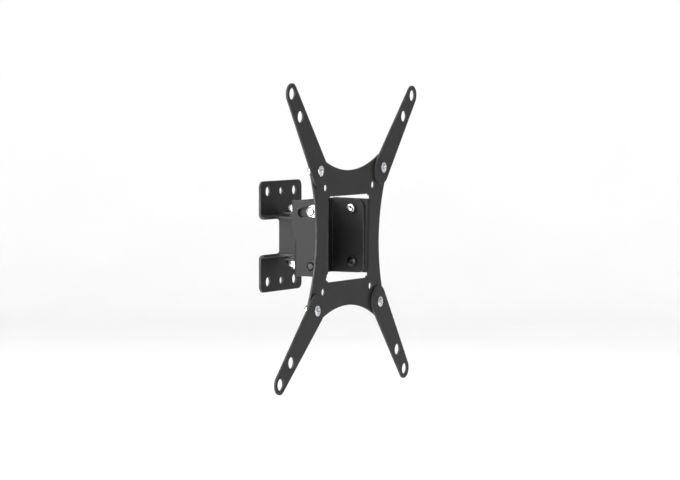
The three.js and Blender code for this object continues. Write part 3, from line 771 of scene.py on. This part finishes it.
def window_outline(fold, flat):
    """The window in the blank: the open space between the ears, which lie in it before they are bent back."""
    relief = SCREEN_EAR_HALF_HEIGHT + RELIEF_HEIGHT
    corner_x, corner_z = SCREEN_EAR_INNER - WINDOW_CORNER, WINDOW_HALF_HEIGHT - WINDOW_CORNER
    top = arc(corner_x, corner_z, WINDOW_CORNER, 90, 0, 15)
    top += [(SCREEN_EAR_INNER, relief)]
    top += arc(fold - RELIEF_CORNER, relief - RELIEF_CORNER, RELIEF_CORNER, 90, 0, 10)
    top += [(fold, SCREEN_EAR_HALF_HEIGHT)]
    foot = [(x, -z) for x, z in top[::-1]]
    right = top + [(flat - depth, height) for depth, height in ear_outline()] + foot
    return right + [(-x, z) for x, z in right[::-1]]


def screen_plate():
    """The star plate, with an ear bent back from each side of its window."""
    fold = SCREEN_EAR_INNER + BEND_INNER + PLATE_SHEET
    flat = fold - fold_run(BEND_INNER, PLATE_SHEET) + BEND_INNER + PLATE_SHEET
    holes = [window_outline(fold, flat)]
    for side in (-1, 1):
        holes.append(circle(side * (flat - TILT_DEPTH), TILT_HEIGHT, SMALL_BORE))
        holes.append([(side * (flat - depth), height) for depth, height in tilt_slot()])
    for x, z in CORNERS.values():
        holes.append(circle(x * VESA_HOLE_OFFSET, z * VESA_HOLE_OFFSET, VESA_HOLE))
        holes.append(circle(x * ARM_PIVOT_OFFSET, z * ARM_PIVOT_OFFSET, SMALL_BORE))
    sheet = blank(star_outline(), holes, PLATE_SHEET)
    rows = fold_rows(0, BEND_INNER, PLATE_SHEET)
    for side in (-1, 1):
        crease(sheet, 0, [side * (fold - row) for row in rows])

    def rule(x, y, depth):
        if abs(y) > SCREEN_EAR_HALF_HEIGHT + RELIEF_HEIGHT / 2:
            return x, depth, y
        reach, rise = folded(fold - abs(x), depth, 0, BEND_INNER, PLATE_SHEET)
        return math.copysign(fold - reach, x), rise, y

    reshape(sheet, rule)
    return sheet


def arm_sheet():
    taper = math.degrees(math.asin((ARM_BASE - ARM_TIP) / (ARM_LENGTH + ARM_BASE_SHIFT)))
    outline = arc(0, -ARM_BASE_SHIFT, ARM_BASE, 180 - taper, 360 + taper)
    outline += arc(0, ARM_LENGTH, ARM_TIP, taper, 180 - taper)
    holes = [circle(0, 0, SMALL_BORE)] + [circle(0, y, ARM_HOLE) for y in (ARM_MIDDLE_HOLE, ARM_LENGTH)]
    sheet = blank(outline, holes, ARM_SHEET)
    reshape(sheet, lambda x, y, depth: (x, -depth, y))
    return sheet


# ---------- materials ----------


class Recipe:
    """A material's node tree, with short ways to add the nodes used here."""

    def __init__(self, name):
        self.material = bpy.data.materials.new(name)
        self.material.use_nodes = True
        self.tree = self.material.node_tree
        self.shader = self.tree.nodes["Principled BSDF"]
        self.place = self.tree.nodes.new("ShaderNodeTexCoord").outputs["Object"]

    def link(self, source, target):
        self.tree.links.new(source, target)

    def noise(self, scale, detail=2, roughness=0.5, stretch=None):
        """Noise with this many features to the metre, stretched along the axes if asked."""
        node = self.tree.nodes.new("ShaderNodeTexNoise")
        node.inputs["Scale"].default_value = scale
        node.inputs["Detail"].default_value = detail
        node.inputs["Roughness"].default_value = roughness
        source = self.place
        if stretch:
            mapping = self.tree.nodes.new("ShaderNodeMapping")
            mapping.inputs["Scale"].default_value = stretch
            self.link(source, mapping.inputs["Vector"])
            source = mapping.outputs["Vector"]
        self.link(source, node.inputs["Vector"])
        return node.outputs["Fac"]

    def rim(self):
        node = self.tree.nodes.new("ShaderNodeAttribute")
        node.attribute_name = "rim"
        return node.outputs["Fac"]

    def span(self, source, low, high, start=0.3, end=0.7):
        """Carries a value from start..end to low..high."""
        node = self.tree.nodes.new("ShaderNodeMapRange")
        self.link(source, node.inputs["Value"])
        for name, value in zip(("From Min", "From Max", "To Min", "To Max"), (start, end, low, high)):
            node.inputs[name].default_value = value
        return node.outputs["Result"]

    def math(self, operation, first, second):
        node = self.tree.nodes.new("ShaderNodeMath")
        node.operation = operation
        for value, socket in zip((first, second), node.inputs):
            if isinstance(value, (int, float)):
                socket.default_value = value
            else:
                self.link(value, socket)
        return node.outputs["Value"]

    def blend(self, factor, first, second):
        """A colour between two, each given as three numbers or as another node's output."""
        node = self.tree.nodes.new("ShaderNodeMix")
        node.data_type = "RGBA"
        self.link(factor, node.inputs["Factor"])
        for value, socket in zip((first, second), (node.inputs[6], node.inputs[7])):
            if isinstance(value, tuple):
                socket.default_value = (*value, 1)
            else:
                self.link(value, socket)
        return node.outputs[2]

    def bump(self, height, depth, strength=1, under=None):
        """Relief of this depth in metres, over another relief if there is one."""
        node = self.tree.nodes.new("ShaderNodeBump")
        node.inputs["Strength"].default_value = strength
        node.inputs["Distance"].default_value = depth
        self.link(height, node.inputs["Height"])
        if under:
            self.link(under, node.inputs["Normal"])
        return node.outputs["Normal"]

    def set(self, **values):
        """Sets the shader's sockets: numbers and colours directly, node outputs by a link."""
        for name, value in values.items():
            socket = self.shader.inputs[name.replace("_", " ")]
            if isinstance(value, bpy.types.NodeSocket):
                self.link(value, socket)
            elif isinstance(value, tuple):
                socket.default_value = (*value, 1)
            else:
                socket.default_value = value


def black_coat():
    """Satin black powder coat: an orange-peel skin, a fine grain, and rims that are shinier where the coat is
    thin and painted lighter, partly as wear of the thin coat and partly as a painted edge highlight.
    """
    recipe = Recipe("black_coat")
    cloud = recipe.noise(35, 4, 0.6)
    peel = recipe.noise(750, 1.5)
    grain = recipe.noise(3200, 2)
    body = recipe.blend(recipe.span(cloud, 0, 1), (0.0065, 0.0065, 0.0068), (0.0105, 0.0105, 0.0109))
    speck = recipe.span(grain, 0, 0.35, 0.6, 0.78)
    body = recipe.blend(speck, body, (0.035, 0.035, 0.035))
    # Rim weight times noise lightens the rims and makes them shinier: the lighter colour is partly worn thin
    # coat and partly a painted edge highlight.
    rim_wear_and_highlight = recipe.math("MULTIPLY", recipe.rim(), recipe.span(recipe.noise(160, 3), 0.1, 0.6))
    colour = recipe.blend(rim_wear_and_highlight, body, (0.05, 0.05, 0.051))
    rough = recipe.math("SUBTRACT", recipe.span(cloud, 0.4, 0.5), recipe.math("MULTIPLY", rim_wear_and_highlight, 0.12))
    skin = recipe.bump(peel, 0.00004, 0.6)
    recipe.set(
        Base_Color=colour,
        Roughness=rough,
        Normal=recipe.bump(grain, 0.00001, 0.5, skin),
        Specular_IOR_Level=0.1,
    )
    return recipe.material


def plated(name, dark, light, smooth, rough, specular=0.5):
    """Zinc-plated steel: slight clouds in the plating and fine turning marks."""
    recipe = Recipe(name)
    cloud = recipe.noise(420, 4, 0.6)
    marks = recipe.noise(900, 3, 0.6, (1, 1, 6))
    grain = recipe.noise(2600, 2)
    colour = recipe.blend(recipe.span(cloud, 0, 1), dark, light)
    sheen = recipe.math("ADD", recipe.span(cloud, smooth, rough), recipe.span(marks, -0.04, 0.06))
    skin = recipe.bump(marks, 0.00002, 0.35)
    recipe.set(
        Base_Color=colour,
        Metallic=1.0,
        Roughness=sheen,
        Normal=recipe.bump(grain, 0.000008, 0.3, skin),
        Specular_IOR_Level=specular,
    )
    return recipe.material


def nylon(name, dark, light):
    """Moulded nylon, a little see-through, with a soft grain."""
    recipe = Recipe(name)
    cloud = recipe.noise(180, 3)
    grain = recipe.noise(1800, 2)
    colour = recipe.blend(recipe.span(cloud, 0, 1), dark, light)
    recipe.set(
        Base_Color=colour,
        Roughness=recipe.span(grain, 0.42, 0.56),
        Normal=recipe.bump(grain, 0.00001, 0.4),
        Subsurface_Weight=0.15,
        Subsurface_Scale=0.001,
    )
    return recipe.material


FINISHES = {
    "black_coat": black_coat(),
    "bright_zinc": plated("bright_zinc", (0.14, 0.15, 0.17), (0.6, 0.61, 0.63), 0.14, 0.32),
    "black_zinc": plated("black_zinc", (0.012, 0.012, 0.0135), (0.03, 0.03, 0.033), 0.28, 0.42),
    "white_nylon": nylon("white_nylon", (0.76, 0.75, 0.7), (0.84, 0.83, 0.79)),
    "black_nylon": nylon("black_nylon", (0.011, 0.011, 0.0115), (0.018, 0.018, 0.0185)),
}

# ---------- assembly ----------


def put(node, shape, place, body, finish):
    """Makes the piece that stands for one CAD node."""
    piece = finish_mesh(f"{node}_look", shape, place)
    piece.data.materials.append(FINISHES[finish])
    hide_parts(node)
    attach(piece, body)
    return piece


def make_wall_side():
    put("wall_plate", wall_plate(), WALL, "wall", "black_coat")
    height = EAR_OUTER_HEIGHT + SEAT_GAP
    put("upper_bushing", bushing(), shift(0, -PIVOT_TO_WALL, height), "wall", "black_nylon")
    lower = shift(0, -PIVOT_TO_WALL, -height) @ turn(180, "X")
    put("lower_bushing", bushing(), lower, "wall", "black_nylon")


def make_swivel_pivot():
    nut_base = PIVOT_HEAD_BASE + PIVOT_NUT_HEIGHT
    disc = lambda: washer(PIVOT_WASHER, PIVOT_BOLT, PIVOT_WASHER_THICKNESS, 0.25)
    lower = -PIVOT_WASHER_BASE - PIVOT_WASHER_THICKNESS
    nut = lock_nut(PIVOT_HEAD_ACROSS, PIVOT_BOLT, PIVOT_NUT_HEIGHT)
    pieces = {
        "pivot_bolt": (hex_bolt(), shift(z=PIVOT_HEAD_BASE)),
        "pivot_washer_upper": (disc(), shift(z=PIVOT_WASHER_BASE)),
        "pivot_washer_lower": (disc(), shift(z=lower)),
        "pivot_nut": (nut, shift(z=-PIVOT_HEAD_BASE) @ turn(180, "X")),
    }
    for node, (shape, place) in pieces.items():
        put(node, shape, SWIVEL @ place, "swivel", "bright_zinc")


def make_yoke():
    put("swivel_yoke", swivel_yoke(), SWIVEL, "swivel", "black_coat")
    middle = -(YOKE_REAR + (YOKE_SHEET + SEAT_GAP + BRACKET_SHEET) / 2)
    for name, (x, z) in CORNERS.items():
        place = SWIVEL @ shift(x * RIVET_SPACING, middle, z * RIVET_HEIGHT) @ turn(90, "X")
        put(f"yoke_rivet_{name}", rivet(), place, "swivel", "black_zinc")


def make_side_bolt(prefix, side, height, bolt, finish):
    """The bolt, spacer, washer and nut through one side of the bracket and the ear outside it."""
    name = "left" if side < 0 else "right"
    washer_inner = SCREEN_EAR_OUTER + SEAT_GAP
    nut_inner = washer_inner + SMALL_WASHER_THICKNESS + SEAT_GAP
    head_face = SIDE_INNER - SEAT_GAP
    length = nut_inner + SMALL_NUT_HEIGHT + SMALL_TAIL - head_face
    at = lambda reach: SWIVEL @ shift(side * reach, -TILT_AXIS, height)
    inward, outward = turn(-90 * side, "Y"), turn(90 * side, "Y")
    spacer = washer(SPACER, SMALL_BOLT, SCREEN_EAR_GAP - 2 * SEAT_GAP)
    disc = washer(SMALL_WASHER, SMALL_BOLT, SMALL_WASHER_THICKNESS)
    nut = lock_nut(SMALL_NUT_ACROSS, SMALL_BOLT, SMALL_NUT_HEIGHT)
    put(f"{prefix}_bolt_{name}", bolt(length), at(head_face) @ inward, "swivel", finish)
    spacer_place = at(BRACKET_HALF_WIDTH + SEAT_GAP) @ outward
    put(f"{prefix}_spacer_{name}", spacer, spacer_place, "swivel", "white_nylon")
    put(f"{prefix}_washer_{name}", disc, at(washer_inner) @ outward, "swivel", finish)
    put(f"{prefix}_nut_{name}", nut, at(nut_inner) @ outward, "swivel", finish)


def make_bracket():
    put("swivel_bracket", swivel_bracket(), SWIVEL, "swivel", "black_coat")
    for side in (-1, 1):
        make_side_bolt("lock", side, TILT_HEIGHT + LOCK_HEIGHT, cap_bolt, "bright_zinc")
        make_side_bolt("tilt", side, TILT_HEIGHT, button_bolt, "black_zinc")


def make_arm(name, x, z):
    at = lambda y: SCREEN @ shift(x * ARM_PIVOT_OFFSET, y, z * ARM_PIVOT_OFFSET)
    upright = 0 if z > 0 else 180
    swing = turn(upright + x * z * ARM_ANGLES[name], "Y")
    put(f"arm_{name}", arm_sheet(), at(-SEAT_GAP) @ swing, f"arm_{name}", "black_coat")
    head_face = -ARM_SHEET - 2 * SEAT_GAP
    washer_front = PLATE_SHEET + SEAT_GAP
    nut_front = washer_front + SMALL_WASHER_THICKNESS + SEAT_GAP
    length = nut_front + SMALL_NUT_HEIGHT + SMALL_TAIL - head_face
    disc = washer(SMALL_WASHER, SMALL_BOLT, SMALL_WASHER_THICKNESS)
    nut = lock_nut(SMALL_NUT_ACROSS, SMALL_BOLT, SMALL_NUT_HEIGHT)
    forward, rearward = turn(90, "X"), turn(-90, "X")
    put(f"arm_bolt_{name}", pan_bolt(length), at(head_face) @ forward, "tilt", "bright_zinc")
    put(f"arm_washer_{name}", disc, at(washer_front) @ rearward, "tilt", "bright_zinc")
    put(f"arm_nut_{name}", nut, at(nut_front) @ rearward, "tilt", "bright_zinc")


def make_screen_plate():
    put("vesa_plate", screen_plate(), SCREEN, "tilt", "black_coat")
    for name, (x, z) in CORNERS.items():
        make_arm(name, x, z)


make_wall_side()
make_swivel_pivot()
make_yoke()
make_bracket()
make_screen_plate()

# ---------- studio ----------


def backdrop():
    """A round sweep: a floor that curves up into a wall on every side."""
    floor, radius, bend, wall = -0.35, 5.0, 1.6, 4.0
    bend_steps, sides = 24, 96
    rings = [(0.02, floor), (1, floor), (2, floor)]
    centre = radius - bend
    for i in range(bend_steps + 1):
        angle = math.radians(90 * i / bend_steps)
        rings.append((centre + bend * math.sin(angle), floor + bend * (1 - math.cos(angle))))
    rings.append((radius, wall))
    surface = bmesh.new()
    rows = []
    for reach, height in rings:
        angles = [math.tau * i / sides for i in range(sides)]
        rows.append([surface.verts.new((reach * math.cos(a), reach * math.sin(a), height)) for a in angles])
    for lower, upper in zip(rows, rows[1:]):
        for i in range(sides):
            surface.faces.new((lower[i - 1], lower[i], upper[i], upper[i - 1]))
    surface.faces.new(rows[0])
    bmesh.ops.recalc_face_normals(surface, faces=surface.faces)
    mesh = bpy.data.meshes.new("backdrop")
    surface.to_mesh(mesh)
    surface.free()
    for polygon in mesh.polygons:
        polygon.use_smooth = True
    sweep = bpy.data.objects.new("backdrop", mesh)
    bpy.context.scene.collection.objects.link(sweep)
    recipe = Recipe("pale_paper")
    tone = recipe.noise(3, 2)
    recipe.set(
        Base_Color=recipe.blend(recipe.span(tone, 0, 1), (0.9, 0.9, 0.9), (0.92, 0.92, 0.92)),
        Roughness=0.9,
        Specular_IOR_Level=0.1,
    )
    mesh.materials.append(recipe.material)


def soft_light(name, place, width, height, power):
    """A soft box that faces the middle of the object."""
    light = bpy.data.lights.new(name, "AREA")
    light.shape = "RECTANGLE"
    light.size, light.size_y = width, height
    light.energy = power
    lamp = bpy.data.objects.new(name, light)
    lamp.location = place
    lamp.rotation_euler = (-Vector(place)).to_track_quat("-Z", "Y").to_euler()
    bpy.context.scene.collection.objects.link(lamp)


backdrop()
soft_light("key_left", (-1.6, 0.7, 0.45), 1.2, 1.4, 80)
soft_light("fill_left", (-1.8, -0.45, 0.4), 0.6, 0.8, 40)
soft_light("overhead", (0.2, -0.2, 2.2), 2.4, 2.4, 60)

world = bpy.data.worlds.new("studio")
world.use_nodes = True
world.node_tree.nodes["Background"].inputs["Color"].default_value = (1, 1, 1, 1)
world.node_tree.nodes["Background"].inputs["Strength"].default_value = 0.66
bpy.context.scene.world = world
bpy.context.scene.view_settings.view_transform = "Standard"

camera = bpy.data.cameras.new("camera")
camera.sensor_width = 36
camera.lens = 148.2
camera_object = bpy.data.objects.new("camera", camera)
camera_object.location = (-1.8118, -0.9896, 0.1084)
looking = Vector((0.8865, 0.4595, -0.0541))
camera_object.rotation_euler = looking.to_track_quat("-Z", "Y").to_euler()
bpy.context.scene.collection.objects.link(camera_object)
bpy.context.scene.camera = camera_object
